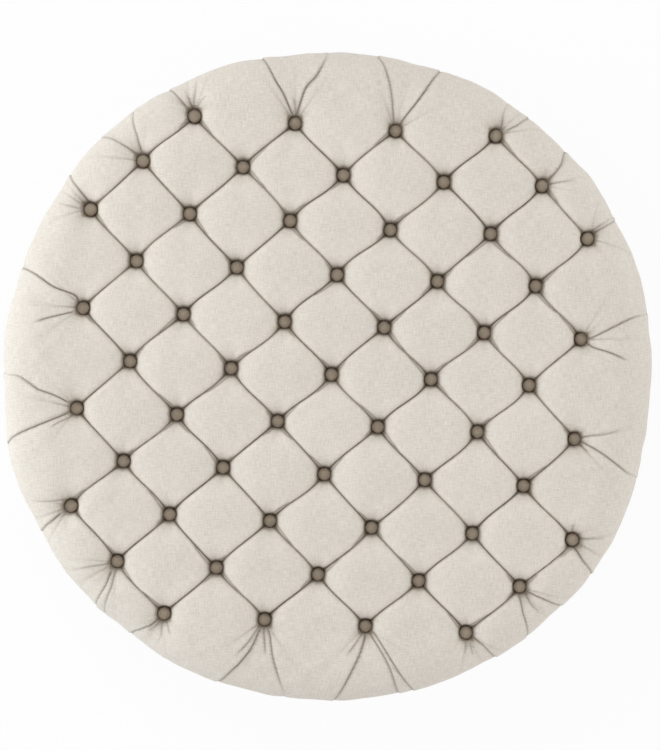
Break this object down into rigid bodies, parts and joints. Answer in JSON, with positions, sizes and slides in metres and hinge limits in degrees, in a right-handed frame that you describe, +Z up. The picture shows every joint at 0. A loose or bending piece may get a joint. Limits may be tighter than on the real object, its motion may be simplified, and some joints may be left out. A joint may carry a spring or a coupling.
{
  "type": "ottoman coffee table",
  "caption": "Round diamond-tufted fabric ottoman used as a coffee table, with covered buttons, a pleated rolled edge, a padded side band and tapered wooden legs.",
  "frame": {"origin": "centre of the round footprint, on the floor under the glides", "axes": "+Z up; the rows of buttons run along X and Y, and the legs stand at 45 degrees to them"},
  "size_m": [0.98, 0.98, 0.43],
  "materials": {
    "linen": "matte woven linen look",
    "button_cloth": "matte fine weave",
    "twine": "waxed",
    "foam": "open-cell foam",
    "plywood": "raw plywood",
    "frame_wood": "raw pine",
    "hardboard": "smooth hardboard",
    "dust_cloth": "thin non-woven cloth",
    "leg_wood": "dark stain, satin lacquer",
    "glide": "moulded",
    "steel": "zinc plated"
  },
  "bodies": {
    "root": {"tufted_cover": "linen", "buttons": "button_cloth", "button_ties": "twine", "foam_slab": "foam", "tufting_board": "plywood", "base_ring": "plywood", "post_1": "frame_wood", "post_2": "frame_wood", "post_3": "frame_wood", "post_4": "frame_wood", "post_5": "frame_wood", "post_6": "frame_wood", "post_7": "frame_wood", "post_8": "frame_wood", "post_9": "frame_wood", "post_10": "frame_wood", "post_11": "frame_wood", "post_12": "frame_wood", "rail_x": "frame_wood", "rail_y": "frame_wood", "hoop_panel": "hardboard", "side_band": "linen", "welt": "linen", "dust_cloth": "dust_cloth", "leg_block_1": "frame_wood", "leg_block_2": "frame_wood", "leg_block_3": "frame_wood", "leg_block_4": "frame_wood", "leg_1": "leg_wood", "leg_2": "leg_wood", "leg_3": "leg_wood", "leg_4": "leg_wood", "glide_1": "glide", "glide_2": "glide", "glide_3": "glide", "glide_4": "glide", "hanger_bolts": "steel", "tee_nuts": "steel"}
  },
  "joints": []
}
